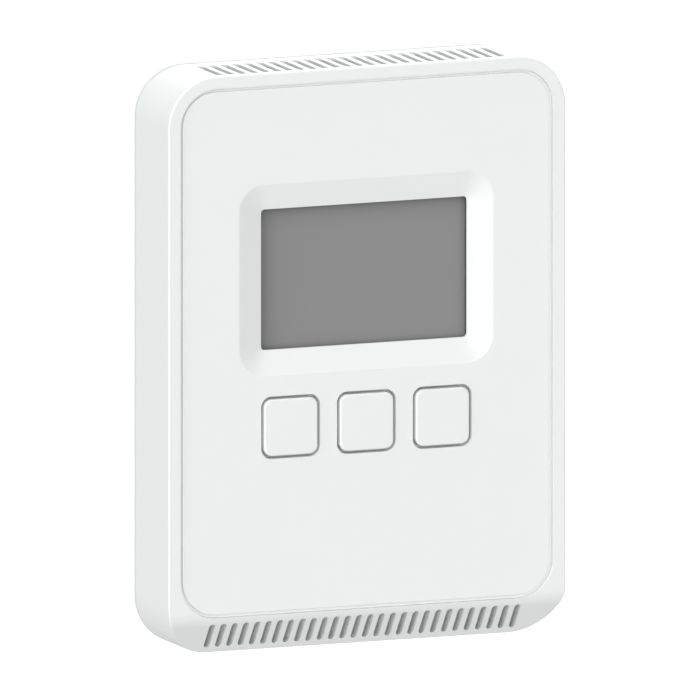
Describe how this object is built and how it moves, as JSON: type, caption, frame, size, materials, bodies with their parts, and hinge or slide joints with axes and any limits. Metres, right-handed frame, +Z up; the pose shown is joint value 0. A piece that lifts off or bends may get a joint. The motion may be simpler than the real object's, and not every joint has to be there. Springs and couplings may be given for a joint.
{
  "type": "wall thermostat",
  "caption": "Wall thermostat with a display window, a row of push buttons, slotted vents and a hinged cover on a wall plate.",
  "frame": {"origin": "middle of the line between the two box-screw slots, on the wall plane at the back of the wall plate", "axes": "+Y into the wall, +Z up, +X to the right seen from the front; the front faces -Y"},
  "size_m": [0.0852, 0.0184, 0.117],
  "materials": {
    "case": "fine satin",
    "plate": "matte",
    "button": "satin",
    "display": "satin",
    "dark_plastic": "matte",
    "light_guide": "gloss",
    "rubber": "matte",
    "board": "gloss",
    "terminal": "satin",
    "steel": "plated",
    "brass": "satin",
    "aluminium": "satin",
    "ceramic": "matte"
  },
  "bodies": {
    "base": {"base_plate": "plate", "terminal_board": "board", "terminal_block_left": "terminal", "terminal_block_right": "terminal", "terminal_clamps": "brass", "terminal_screws": "steel", "relays": "dark_plastic", "header_socket": "dark_plastic", "base_board_screws": "steel"},
    "cover": {"front_cover": "case", "front_panel": "case", "lcd_frame": "dark_plastic", "lcd_glass": "display", "lcd_backlight": "light_guide", "elastomer_strips": "rubber", "main_board": "board", "main_board_screws": "steel", "header_pins": "brass", "microcontroller": "dark_plastic", "board_chips": "dark_plastic", "board_passives": "ceramic", "filter_capacitors": "aluminium", "crystal": "steel", "temperature_sensor": "dark_plastic", "switch_body_left": "dark_plastic", "switch_body_middle": "dark_plastic", "switch_body_right": "dark_plastic"},
    "left_button": {"button_left": "button"},
    "middle_button": {"button_middle": "button"},
    "right_button": {"button_right": "button"},
    "left_plunger": {"switch_plunger_left": "dark_plastic"},
    "middle_plunger": {"switch_plunger_middle": "dark_plastic"},
    "right_plunger": {"switch_plunger_right": "dark_plastic"},
    "lock": {"lock_screw": "steel"}
  },
  "joints": [
    {"name": "cover_swing", "type": "hinge", "parent": "base", "child": "cover", "pos_m": [0, -0.0034, 0.0546], "axis": [-1, 0, 0], "range_deg": [0, 12]},
    {"name": "left_press", "type": "slide", "parent": "cover", "child": "left_button", "axis": [0, 1, 0], "range_m": [0, 0.0005], "stiffness_N_per_m": 1500},
    {"name": "middle_press", "type": "slide", "parent": "cover", "child": "middle_button", "axis": [0, 1, 0], "range_m": [0, 0.0005], "stiffness_N_per_m": 1500},
    {"name": "right_press", "type": "slide", "parent": "cover", "child": "right_button", "axis": [0, 1, 0], "range_m": [0, 0.0005], "stiffness_N_per_m": 1500},
    {"name": "left_switch", "type": "slide", "parent": "cover", "child": "left_plunger", "axis": [0, 1, 0], "range_m": [0, 0.0005]},
    {"name": "middle_switch", "type": "slide", "parent": "cover", "child": "middle_plunger", "axis": [0, 1, 0], "range_m": [0, 0.0005]},
    {"name": "right_switch", "type": "slide", "parent": "cover", "child": "right_plunger", "axis": [0, 1, 0], "range_m": [0, 0.0005]},
    {"name": "lock_travel", "type": "slide", "parent": "base", "child": "lock", "axis": [0, 0, -1], "range_m": [0, 0.0015]}
  ],
  "couplings": [
    {"joint": "left_switch", "follows": "left_press", "ratio": 1},
    {"joint": "middle_switch", "follows": "middle_press", "ratio": 1},
    {"joint": "right_switch", "follows": "right_press", "ratio": 1}
  ]
}
